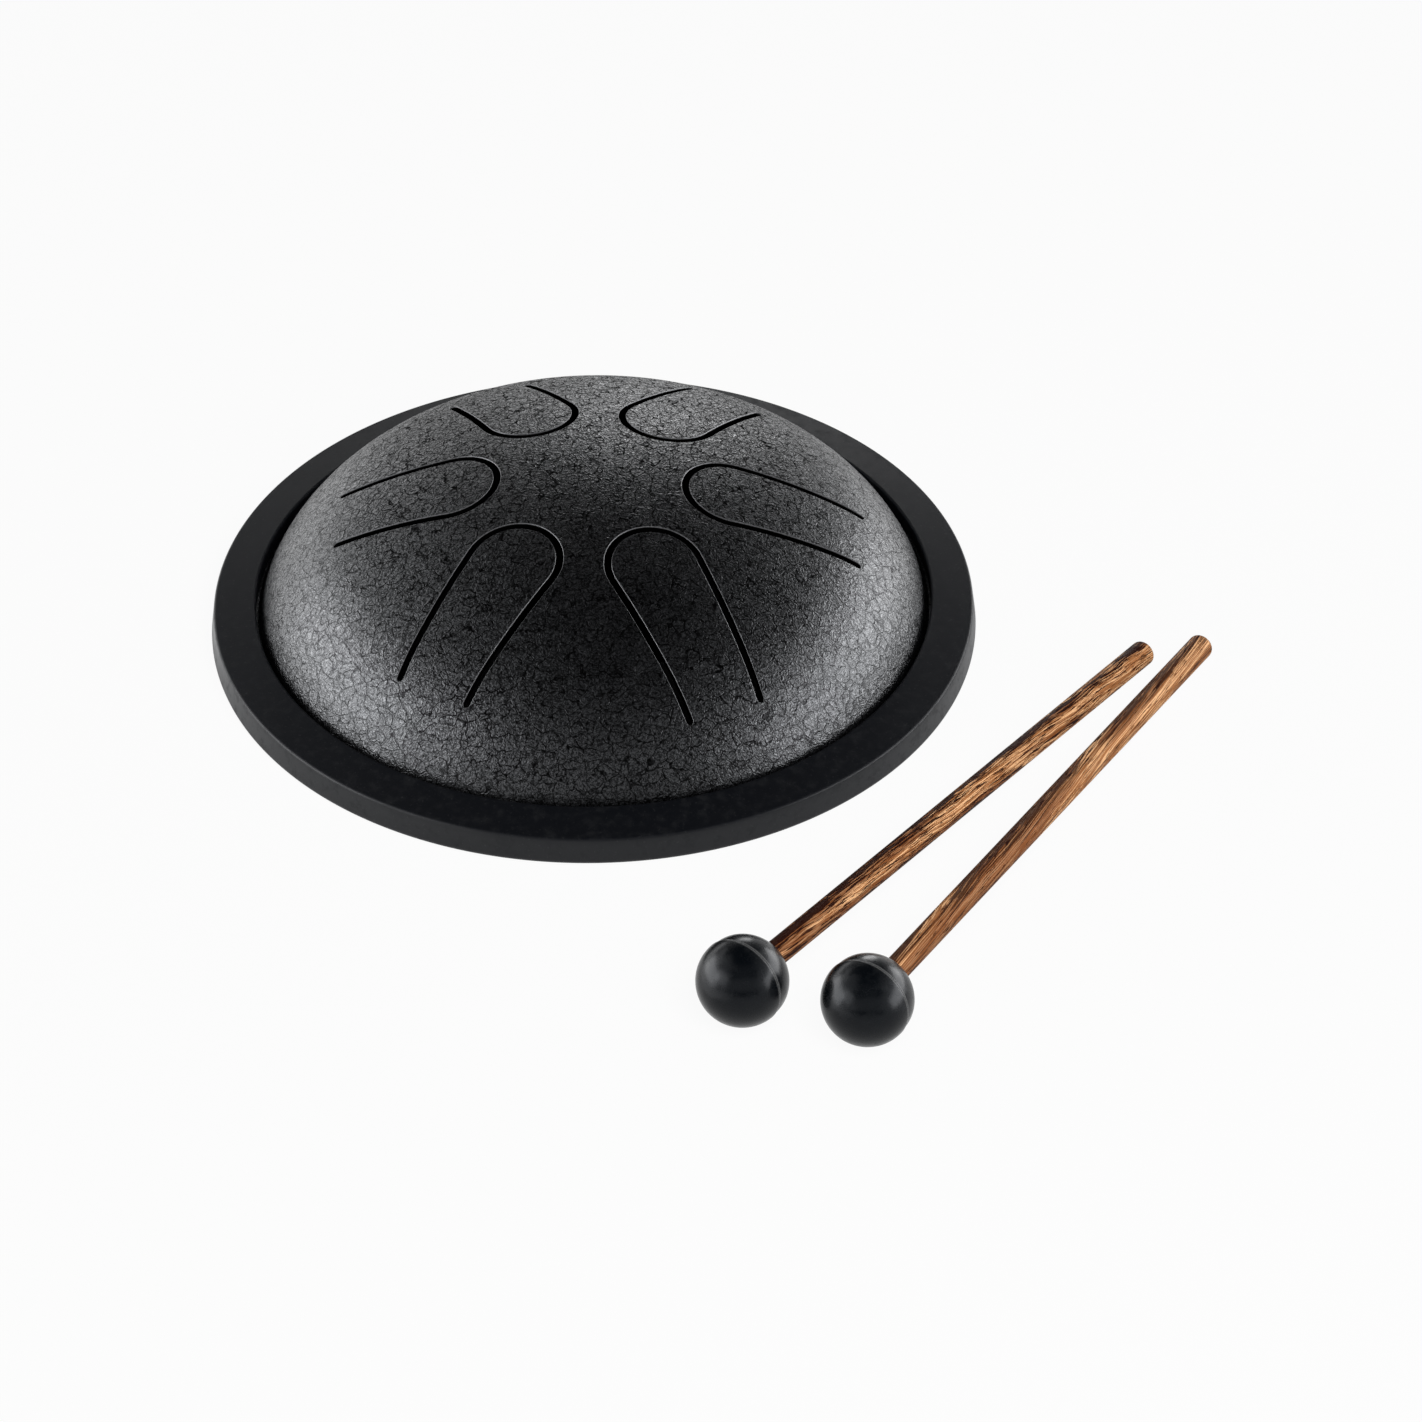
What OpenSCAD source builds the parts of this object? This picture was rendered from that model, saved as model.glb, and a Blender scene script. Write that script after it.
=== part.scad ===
// A shallow steel tongue drum in a rubber edge ring, with its two mallets beside it.
// Its origin is on the floor, under the middle of the drum, and +Z is up.
// The mallets lie in front of the drum, on the -Y side, and each rests on its ball and on its tip.

/* [Dome] */
// Height of the crown above the floor
dome_h = 44.1; // [40:0.1:50]
// Radius at which the side of the dome would stand upright
dome_r = 80.7; // [77:0.1:90]
// Outer radius of the crown, which is part of a sphere
crown_r = 126; // [110:1:150]
// Outer radius of the shoulder between the crown and the side
knuckle_r = 42.5; // [36:0.5:48]
// Thickness of the pressed steel sheet
sheet_t = 1.6; // [1:0.1:2]
// Radius of the bend between the side and the flange, on its hollow side
bend_r = 0.6; // [0.4:0.1:1]
// Width of the flat flange beyond its bend
flange_w = 5.3; // [4:0.1:8]

/* [Tongues] */
// Angle of the first tongue about the drum, from +X towards +Y
tongue_turn = -4.2; // [-60:0.1:60]
// Distance from the drum's axis to the middle of the slot at a tip
tongue_tip_r = 22; // [16:0.5:26]
// Radius of the slot's middle line round a tip
tongue_half_w = 10.9; // [9:0.1:11.5]
// Angle by which each straight side leans towards the tongue's root
tongue_taper = 3; // [0:0.5:5]
// Width of the slot
slot_w = 1.7; // [1:0.1:2.2]
// Length of the tongue at the right, from the slot's middle at the tip to its root
tongue_1_len = 40.4; // [28:0.1:50]
// Length of the tongue behind it on the right
tongue_2_len = 34.8; // [28:0.1:50]
// Length of the tongue behind it on the left
tongue_3_len = 32.2; // [28:0.1:50]
// Length of the tongue at the left
tongue_4_len = 37; // [28:0.1:50]
// Length of the tongue in front on the left
tongue_5_len = 43.9; // [28:0.1:50]
// Length of the tongue in front on the right
tongue_6_len = 46; // [28:0.1:50]

/* [Base plate] */
// Thickness of the base plate
base_t = 1.6; // [1:0.1:2.5]
// Radius of the sound hole in its middle
sound_hole_r = 25; // [15:1:35]

/* [Edge ring] */
// Thickness of the rubber under the base plate
ring_floor_t = 2; // [1.5:0.1:3]
// Thickness of the rubber outside the flange
ring_wall = 5.7; // [4:0.1:8]
// Height of the ring's outer edge
ring_edge_h = 7; // [6.5:0.1:9]
// Height of the ring's inner edge
ring_crest_h = 9.1; // [8.5:0.1:11]
// Distance by which the outer side leans in at its top
ring_lean = 0.8; // [0.2:0.1:2]
// Radius of the ring's bottom edge, outside
ring_foot_round = 1.2; // [0.5:0.1:1.5]
// Radius of the ring's top edge, outside
ring_edge_round = 0.9; // [0.4:0.1:1.5]
// Radius of the ring's inner edges
ring_crest_round = 0.6; // [0.3:0.1:0.8]

/* [Mallets] */
// Radius of the rubber ball
head_r = 10.5; // [9:0.1:13]
// Radius of the wooden stick
stick_r = 3; // [2.5:0.1:4]
// Distance from the middle of the ball to the stick's tip
stick_reach = 160; // [120:1:200]
// Distance that the stick goes in past the middle of the ball
stick_seat = 4; // [0:0.5:6]
// Radius of the edge at the stick's tip
stick_tip_round = 1.2; // [0.5:0.1:2]
// Width of the parting groove round the ball
seam_w = 0.3; // [0.1:0.05:0.6]
// Depth of the parting groove round the ball
seam_depth = 0.25; // [0.1:0.05:0.5]
// Place of the first ball on the floor, across and along
mallet_a_place = [31.5, -144.6]; // [-200:0.1:200]
// Direction of the first stick, from +X towards +Y
mallet_a_turn = 52.4; // [45:0.1:90]
// Place of the second ball on the floor, across and along
mallet_b_place = [59.1, -152.1]; // [-200:0.1:200]
// Direction of the second stick, from +X towards +Y
mallet_b_turn = 58.5; // [45:0.1:90]

/* [Clearances] */
// Cut that stands for the line where a tongue bends at its root
root_gap = 0.05; // [0.02:0.01:0.1]
// Gap between the dome's bend and the bore of the ring
bore_gap = 0.25; // [0.1:0.05:0.5]
// Gap between the flange's edge and the bottom of the ring's groove
groove_gap = 0.1; // [0.05:0.05:0.3]
// Gap round the stick in the ball, filled by glue
glue_gap = 0.05; // [0.02:0.01:0.1]

/* [Hidden] */

$fn = 160;

// Cuts run past the faces that they cut by this much
overrun = 1;

// Arcs that meet smoothly cross by this much, so that they meet in one clean edge
bite = 0.002;

steel_black = [0.12, 0.12, 0.13];
inside_black = [0.08, 0.08, 0.08];
rubber_black = [0.17, 0.17, 0.18];
stick_browns = [[0.50, 0.31, 0.17], [0.58, 0.35, 0.19]];

// The middles of the crown's sphere and of the shoulder's arc, in the plane of radius and height
crown_z = dome_h - crown_r;
knuckle_x = dome_r - knuckle_r;
knuckle_z = crown_z + sqrt((crown_r - knuckle_r) ^ 2 - knuckle_x ^ 2);
knuckle = [knuckle_x, knuckle_z];
crown_lean = asin(knuckle_x / (crown_r - knuckle_r));

// The flange lies on the base plate
base_z = ring_floor_t;
flange_z = base_z + base_t;
flange_top = flange_z + sheet_t;
bend_z = flange_top + bend_r;
bend = [knuckle_x + sqrt((knuckle_r + bend_r) ^ 2 - (bend_z - knuckle_z) ^ 2), bend_z];
to_wall = (knuckle - bend) / norm(knuckle - bend);
to_flange = [0, -1];
flange_r = bend[0] + flange_w;

// The ring grips the flange and the base plate together
ring_bore_r = bend[0] + bore_gap;
groove_r = flange_r + groove_gap;
ring_r = flange_r + ring_wall;

tongue_count = 6;
tongue_step = 360 / tongue_count;
tongue_lens = [tongue_1_len, tongue_2_len, tongue_3_len, tongue_4_len, tongue_5_len, tongue_6_len];
tip_centre = tongue_tip_r + tongue_half_w;

// The stick slopes down from the ball until the edge of its tip meets the floor
stick_rest = stick_reach - stick_tip_round;
mallet_tilt = asin(head_r / norm([stick_rest, stick_r])) - atan2(stick_r, stick_rest);

function unit(v) = v / norm(v);

// Half the width of a tongue's outline, moved out by grow, at the distance u from the drum's axis
function half_width(u, grow) =
    (tongue_half_w + grow - bite) / cos(tongue_taper) - (u - tip_centre) * tan(tongue_taper);

// The two ends of the arc that rounds corner i of a convex outline, a bite inside it
function arc_ends(points, radii, i) =
    let (count = len(points))
    let (corner = points[i])
    let (back = unit(points[(i + count - 1) % count] - corner))
    let (ahead = unit(points[(i + 1) % count] - corner))
    let (half = acos(back * ahead) / 2)
    let (cut = radii[i] / tan(half))
    let (middle = arc_middle(points, radii, i))
    let (first = corner + back * cut)
    let (last = corner + ahead * cut)
    [first + unit(middle - first) * bite, last + unit(middle - last) * bite];

// The middle of the arc that rounds corner i of a convex outline
function arc_middle(points, radii, i) =
    let (count = len(points))
    let (corner = points[i])
    let (back = unit(points[(i + count - 1) % count] - corner))
    let (ahead = unit(points[(i + 1) % count] - corner))
    let (half = acos(back * ahead) / 2)
    corner + unit(back + ahead) * radii[i] / sin(half);

// A convex outline with each corner rounded to its own radius
module rounded_outline(points, radii) {
    polygon([for (i = [0:len(points) - 1]) each arc_ends(points, radii, i)]);
    for (i = [0:len(points) - 1]) {
        translate(arc_middle(points, radii, i)) {
            circle(r = radii[i]);
        }
    }
}

// The space under the dome in section, with its surface moved in by inset
module dome_fill(inset) {
    far = crown_r + knuckle_r;
    intersection() {
        translate([0, crown_z]) {
            circle(r = crown_r - inset);
        }
        polygon([
            [0, crown_z],
            [far * sin(crown_lean), crown_z + far * cos(crown_lean)],
            [0, crown_z + far]
        ]);
    }
    translate(knuckle) {
        circle(r = knuckle_r + bite - inset);
    }
}

// The wedge between the side and the flange, seen from the middle of their bend
module bend_wedge(depth) {
    wall_end = bend + to_wall * depth;
    flange_end = bend + to_flange * depth;
    polygon([bend, wall_end, [wall_end[0], flange_end[1]], flange_end]);
}

// The dome's sheet in section, down to the underside of the flange
module dome_band() {
    intersection() {
        difference() {
            dome_fill(0);
            dome_fill(sheet_t);
        }
        translate([0, flange_z]) {
            square([dome_r + overrun, dome_h]);
        }
    }
}

// The pressed sheet in section: the dome, the bend at its foot and the flange
module sheet_section() {
    difference() {
        union() {
            dome_band();
            translate([bend[0] - bend_r - sheet_t / 2, flange_z]) {
                square([flange_w + bend_r + sheet_t / 2, sheet_t]);
            }
            difference() {
                bend_wedge(bend_r + sheet_t / 2);
                translate(bend) {
                    circle(r = bend_r + bite);
                }
            }
        }
        difference() {
            bend_wedge(bend_r + 2 * sheet_t);
            translate(bend) {
                circle(r = bend_r + sheet_t + bite);
            }
        }
    }
}

// A tongue's outline, moved out by grow and cut off straight at its root
module tongue_outline(root, grow) {
    arc_r = tongue_half_w + grow;
    start = tip_centre + (arc_r - bite) * sin(tongue_taper);
    start_half = (arc_r - bite) * cos(tongue_taper);
    root_half = half_width(root, grow);
    translate([tip_centre, 0]) {
        circle(r = arc_r);
    }
    polygon([[start, -start_half], [root, -root_half], [root, root_half], [start, start_half]]);
}

// The opening that a tongue and its slot take in the sheet, with the slot's two rounded ends
module slot_opening(root) {
    tongue_outline(root, slot_w / 2);
    for (side = [-1, 1]) {
        translate([root, side * half_width(root, 0)]) {
            circle(r = slot_w / 2);
        }
    }
}

// The pressed sheet with the six openings in it
module tongue_shell() {
    color(steel_black)
    difference() {
        rotate_extrude() {
            sheet_section();
        }
        for (i = [0:tongue_count - 1]) {
            rotate([0, 0, tongue_turn + i * tongue_step]) {
                linear_extrude(height = dome_h + overrun) {
                    slot_opening(tongue_tip_r + tongue_lens[i]);
                }
            }
        }
    }
}

// One tongue, which keeps the curve of the dome
module tongue(i) {
    root = tongue_tip_r + tongue_lens[i] - root_gap;
    color(steel_black)
    intersection() {
        rotate_extrude() {
            dome_band();
        }
        rotate([0, 0, tongue_turn + i * tongue_step]) {
            linear_extrude(height = dome_h + overrun) {
                tongue_outline(root, -slot_w / 2);
            }
        }
    }
}

// The flat plate that closes the drum from below, with its sound hole
module base_plate() {
    color(inside_black)
    translate([0, 0, base_z]) {
        difference() {
            cylinder(r = flange_r, h = base_t);
            translate([0, 0, -overrun]) {
                cylinder(r = sound_hole_r, h = base_t + 2 * overrun);
            }
        }
    }
}

// The rubber ring round the flange, which is also the drum's foot
module edge_ring() {
    color(rubber_black)
    rotate_extrude() {
        difference() {
            rounded_outline(
                [
                    [ring_bore_r, 0],
                    [ring_r, 0],
                    [ring_r - ring_lean, ring_edge_h],
                    [ring_bore_r, ring_crest_h]
                ],
                [ring_crest_round, ring_foot_round, ring_edge_round, ring_crest_round]
            );
            translate([ring_bore_r - overrun, base_z]) {
                square([groove_r - ring_bore_r + overrun, base_t + sheet_t]);
            }
        }
    }
}

// Puts a mallet that lies along +X, with the middle of its ball at the origin, in its place
module placed(place, turn) {
    translate([place[0], place[1], head_r]) {
        rotate([0, mallet_tilt, turn]) {
            children();
        }
    }
}

// A moulded rubber ball with a parting groove and a blind bore for the stick
module mallet_head(place, turn) {
    color(rubber_black)
    placed(place, turn) {
        rotate([0, 90, 0]) {
            difference() {
                sphere(r = head_r);
                translate([0, 0, -stick_seat]) {
                    cylinder(r = stick_r + glue_gap, h = head_r + stick_seat + overrun);
                }
                translate([0, 0, -seam_w / 2]) {
                    difference() {
                        cylinder(r = head_r + overrun, h = seam_w);
                        translate([0, 0, -overrun]) {
                            cylinder(r = head_r - seam_depth, h = seam_w + 2 * overrun);
                        }
                    }
                }
            }
        }
    }
}

// A round wooden stick with a rounded tip
module mallet_stick(place, turn, brown) {
    color(brown)
    placed(place, turn) {
        rotate([0, 90, 0]) {
            translate([0, 0, -stick_seat]) {
                cylinder(r = stick_r, h = stick_seat + stick_rest);
            }
            translate([0, 0, stick_rest]) {
                rotate_extrude() {
                    intersection() {
                        union() {
                            translate([stick_r - stick_tip_round, 0]) {
                                circle(r = stick_tip_round);
                            }
                            square([stick_r - stick_tip_round, stick_tip_round]);
                        }
                        square([stick_r, stick_tip_round]);
                    }
                }
            }
        }
    }
}

tongue_shell();
tongue(0);  // tongue_1
tongue(1);  // tongue_2
tongue(2);  // tongue_3
tongue(3);  // tongue_4
tongue(4);  // tongue_5
tongue(5);  // tongue_6
base_plate();
edge_ring();
mallet_head(mallet_a_place, mallet_a_turn);  // mallet_a_head
mallet_stick(mallet_a_place, mallet_a_turn, stick_browns[0]);  // mallet_a_stick
mallet_head(mallet_b_place, mallet_b_turn);  // mallet_b_head
mallet_stick(mallet_b_place, mallet_b_turn, stick_browns[1]);  // mallet_b_stick
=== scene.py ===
# A shallow steel tongue drum in a rubber edge ring, with two rubber-ball mallets beside it.
# Each piece is built in fine mesh in the place of its solid, and its finish is made of nodes.
# Lengths are in metres, in the frame of the solids: +Z is up and -Y is the front.

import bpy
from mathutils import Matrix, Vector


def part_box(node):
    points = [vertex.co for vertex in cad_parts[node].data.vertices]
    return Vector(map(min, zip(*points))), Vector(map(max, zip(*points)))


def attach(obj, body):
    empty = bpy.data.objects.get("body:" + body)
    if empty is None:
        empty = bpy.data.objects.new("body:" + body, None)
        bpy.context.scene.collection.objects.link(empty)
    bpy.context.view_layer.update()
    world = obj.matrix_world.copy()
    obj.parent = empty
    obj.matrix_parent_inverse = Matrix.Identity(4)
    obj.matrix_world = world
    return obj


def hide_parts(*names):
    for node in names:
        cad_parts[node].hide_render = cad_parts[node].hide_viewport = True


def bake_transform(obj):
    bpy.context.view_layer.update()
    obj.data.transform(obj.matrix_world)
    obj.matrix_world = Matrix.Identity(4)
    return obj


bl_info = {
    "name": "Steel tongue drum",
    "version": (1, 0, 0),
    "blender": (4, 5, 0),
    "location": "View3D > Sidebar > Tongue drum",
    "description": "Builds a steel tongue drum with its two mallets, and a plain studio for it",
    "category": "Add Mesh",
}

import math

import bpy
from bpy.props import FloatProperty, FloatVectorProperty, IntProperty, PointerProperty
from mathutils import Euler, Matrix, Vector
from mathutils.geometry import delaunay_2d_cdt

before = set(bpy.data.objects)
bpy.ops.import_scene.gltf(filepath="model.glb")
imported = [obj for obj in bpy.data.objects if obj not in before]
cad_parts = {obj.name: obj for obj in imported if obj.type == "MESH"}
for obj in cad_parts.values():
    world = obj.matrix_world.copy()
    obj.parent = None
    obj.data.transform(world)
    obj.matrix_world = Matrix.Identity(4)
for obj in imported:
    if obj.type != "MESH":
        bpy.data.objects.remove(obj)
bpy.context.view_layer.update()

TONGUES = 6
MALLETS = ("a", "b")
MM = 0.001
WHITE = (1, 1, 1, 1)

# The distance of the points along the slots, as a share of the mesh step.
RIM_SHARE = 0.55
# How far the turned side starts inside the upright radius, as a share of the shoulder's radius.
JOIN_SHARE = 0.16
# Steps round each end of a slot.
CAP_STEPS = 5
# Points of the plan within this distance are one.
SAME_PLACE = 1e-7
# Sides of the mallets' round meshes.
BALL_SIDES = 128
STICK_SIDES = 64
# The strokes of a ball's section that are the lips of its parting groove, and how much lighter they are: a
# painted highlight.
SEAM_LIPS = (1, 5)
LIP_HIGHLIGHT = 0.08


def size(default, name, description):
    """A length that the sidebar shows."""
    return FloatProperty(name=name, description=description, default=default, min=0, precision=5,
                         unit="LENGTH")


def fitted_angle(default, name, description):
    """An angle that the sidebar shows, given here in radians."""
    return FloatProperty(name=name, description=description, default=default, subtype="ANGLE")


def angle(default, name, description):
    """An angle that the sidebar shows, given here in degrees."""
    return fitted_angle(math.radians(default), name, description)


def colour(default, name, description):
    """A colour that the sidebar shows."""
    return FloatVectorProperty(name=name, description=description, default=default, size=3, min=0, max=1,
                               subtype="COLOR")


def share(default, name, description):
    """A number from 0 to 1 that the sidebar shows."""
    return FloatProperty(name=name, description=description, default=default, min=0, max=1, subtype="FACTOR")


def level(default, name, description):
    """A brightness that the sidebar shows, where 1 is white."""
    return FloatProperty(name=name, description=description, default=default, min=0)


class DomeSizes(bpy.types.PropertyGroup):
    """Sizes of the pressed sheet and its tongues"""

    dome_h: size(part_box("tongue_shell")[1].z, "Crown height", "Height of the crown above the floor")
    dome_r: size(0.0807, "Upright radius", "Radius at which the side of the dome would stand upright")
    crown_r: size(0.126, "Crown radius", "Outer radius of the crown, which is part of a sphere")
    knuckle_r: size(0.0425, "Shoulder radius", "Outer radius of the shoulder between the crown and the side")
    sheet_t: size(0.0016, "Sheet thickness", "Thickness of the pressed steel sheet")
    bend_r: size(0.0006, "Bend radius", "Radius of the bend between the side and the flange")
    flange_w: size(0.0053, "Flange width", "Width of the flat flange beyond its bend")
    tongue_turn: angle(-4.2, "Tongue angle", "Angle of the first tongue about the drum, from +X towards +Y")
    tongue_tip_r: size(0.022, "Tip distance", "Distance from the drum's axis to the slot's middle at a tip")
    tongue_half_w: size(0.0109, "Tongue half width", "Radius of the slot's middle line round a tip")
    tongue_taper: angle(3, "Tongue taper", "Angle by which each straight side leans towards the root")
    slot_w: size(0.0017, "Slot width", "Width of the slot")
    tongue_lens: FloatVectorProperty(name="Tongue lengths", size=TONGUES, unit="LENGTH", precision=4,
                                     description="Lengths from the slot's middle at the tip to the root",
                                     default=(0.0404, 0.0348, 0.0322, 0.037, 0.0439, 0.046))
    slot_edge_r: size(0.00014, "Slot edge radius", "Radius of the painted edge along the slots")
    mesh_step: size(0.0021, "Mesh step", "Distance between the points of the dome's mesh")
    mesh_sides: IntProperty(name="Mesh sides", description="Sides of the round meshes", default=360, min=24)


class RingSizes(bpy.types.PropertyGroup):
    """Sizes of the edge ring and the base plate"""

    ring_wall: size(0.0057, "Ring wall", "Thickness of the rubber outside the flange")
    bore_gap: size(0.00025, "Bore gap", "Gap between the dome's bend and the bore of the ring")
    groove_gap: size(0.0001, "Groove gap", "Gap between the flange and the bottom of the ring's groove")
    ring_edge_h: size(0.007, "Outer edge height", "Height of the ring's outer edge")
    ring_crest_h: size(0.0091, "Inner edge height", "Height of the ring's inner edge")
    ring_lean: size(0.0008, "Lean", "Distance by which the outer side leans in at its top")
    foot_round: size(0.0012, "Foot radius", "Radius of the bottom edge, outside")
    edge_round: size(0.0009, "Edge radius", "Radius of the top edge, outside")
    crest_round: size(0.0006, "Crest radius", "Radius of the inner edges")
    lip_round: size(0.0003, "Lip radius", "Radius of the lips of the groove")
    sound_hole_r: size(0.025, "Sound hole radius", "Radius of the sound hole in the base plate")
    plate_round: size(0.0002, "Plate edge radius", "Radius of the base plate's edges")


class MalletSizes(bpy.types.PropertyGroup):
    """Sizes of the balls and the sticks"""

    stick_r: size(0.003, "Stick radius", "Radius of the wooden stick")
    stick_reach: size(0.16, "Stick reach", "Distance from the middle of the ball to the stick's tip")
    stick_seat: size(0.004, "Stick seat", "Distance that the stick goes in past the middle of the ball")
    tip_round: size(0.0012, "Tip radius", "Radius of the edge at the stick's tip")
    tip_crown: size(0.0001, "Tip crown", "Height by which the tip's end face is domed")
    glue_gap: size(0.00005, "Glue gap", "Gap round the stick in the ball")
    mouth_round: size(0.0004, "Mouth radius", "Radius of the ball's edge round the stick")
    seam_w: size(0.0003, "Seam width", "Width of the parting groove round the ball")
    seam_depth: size(0.00025, "Seam depth", "Depth of the parting groove round the ball")
    seam_lip: size(0.00013, "Seam lip", "Radius of the two lips of the parting groove")
    seam_step: size(0.00020, "Seam step", "Height by which the stick's half of the ball is lower at the seam")
    seam_run: size(0.0025, "Seam run", "Distance over which the lower half comes up to the full ball")
    turn_a: angle(52.4, "First stick's angle", "Direction of the first stick, from +X towards +Y")
    turn_b: angle(58.5, "Second stick's angle", "Direction of the second stick, from +X towards +Y")


class Finishes(bpy.types.PropertyGroup):
    """Colours and sizes of the finishes"""

    paint: colour((0.002, 0.0021, 0.0025), "Paint", "Colour of the crackle paint")
    # A lighter colour along the edges of the slots: a painted highlight.
    edge_highlight: colour((0.07, 0.07, 0.0725), "Edge highlight", "Colour of the paint along the edges of the slots")
    plate: colour((0.010, 0.010, 0.011), "Plate", "Colour of the base plate's paint")
    ring: colour((0.0020, 0.0024, 0.0035), "Ring rubber", "Colour of the edge ring")
    ball: colour((0.0014, 0.0021, 0.0031), "Ball rubber", "Colour of the mallets' balls")
    wood_light: colour((0.88, 0.50, 0.25), "Light wood", "Colour of the palest fibres")
    wood_tan: colour((0.38, 0.150, 0.050), "Tan wood", "Usual colour of the wood")
    wood_brown: colour((0.16, 0.045, 0.011), "Brown wood", "Colour of the bands in the wood")
    wood_dark: colour((0.012, 0.001, 0.0003), "Dark wood", "Colour of the dark streaks in the wood")
    cool_gloss: colour((0.93, 0.955, 1.0), "Black gloss", "Tint of the gloss of the paint and the rubber")
    wood_gloss: colour((1.0, 0.55, 0.28), "Wood gloss", "Tint of the gloss of the oiled wood")
    cell: size(0.0029, "Crackle cell", "Usual width of a cell between the cracks")
    grain: size(0.00075, "Paint grain", "Usual width of the wrinkles on the cells")


class Studio(bpy.types.PropertyGroup):
    """Camera, lamps and backdrop"""

    camera_place: FloatVectorProperty(name="Camera place", description="Where the camera stands", size=3,
                                      default=(0, -1.682325, 1.29546), subtype="TRANSLATION", unit="LENGTH")
    camera_yaw: fitted_angle(-0.0163, "Camera yaw", "Turn of the camera to the left")
    camera_pitch: fitted_angle(0.666, "Camera pitch", "How far the camera looks down")
    camera_roll: fitted_angle(-0.0091, "Camera roll", "Roll of the camera")
    lens_share: FloatProperty(name="Lens", description="Focal length as a share of the picture's width",
                              default=9000 / 1422)
    ambient: level(0.10, "Ambient light", "Light from the walls of the room")
    key: level(10.0, "Key light", "Brightness of the large lamp beside the camera, which shows no gloss")
    softbox: level(6.7, "Softbox brightness", "Brightness of the two softboxes, which only gloss shows")
    side_panel: level(2.5, "Side panel brightness", "Brightness of the panels at the left")
    back_panel: level(5.7, "Back panel brightness", "Brightness of the narrow panel behind the drum")
    back_curtain: level(0.35, "Back curtain", "Brightness of the curtain behind the drum")
    ceiling: level(0.02, "Ceiling brightness", "Brightness of the dark ceiling and the dark curtain")
    reflector: level(2.2, "Reflector brightness", "Brightness of the two reflectors on the floor")
    curtain: level(0.75, "Curtain brightness", "Brightness of the grey curtain in front")
    floor: colour((0.60, 0.60, 0.60), "Floor", "Colour of the floor")
    # The dark colour of the floor under the drum is painted shade.
    shade_under_drum: colour((0.004, 0.004, 0.004), "Shade under the drum", "Colour of the floor under the drum")
    backdrop_share: share(0.94, "Backdrop share", "How far the floor shows as backdrop. 1 loses the shadow")


class Value:
    """A number or a vector that comes out of a node. Arithmetic on it adds the nodes that work it out."""

    def __init__(self, shader, socket):
        self.shader = shader
        self.socket = socket

    def is_vector(self):
        return self.socket.type == "VECTOR"

    def combine(self, operation, first, second):
        kind, sockets = "ShaderNodeMath", {0: first, 1: second}
        if any(isinstance(v, tuple) or (isinstance(v, Value) and v.is_vector()) for v in (first, second)):
            kind = "ShaderNodeVectorMath"
            if operation == "MULTIPLY" and isinstance(second, (int, float)):
                operation, sockets = "SCALE", {0: first, "Scale": second}
        return self.shader.node(kind, {"operation": operation}, sockets)

    def __add__(self, other):
        return self.combine("ADD", self, other)

    def __radd__(self, other):
        return self.combine("ADD", other, self)

    def __sub__(self, other):
        return self.combine("SUBTRACT", self, other)

    def __rsub__(self, other):
        return self.combine("SUBTRACT", other, self)

    def __mul__(self, other):
        return self.combine("MULTIPLY", self, other)

    def __rmul__(self, other):
        return self.combine("MULTIPLY", self, other)

    def __abs__(self):
        return self.shader.node("ShaderNodeMath", {"operation": "ABSOLUTE"}, {0: self})


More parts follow.
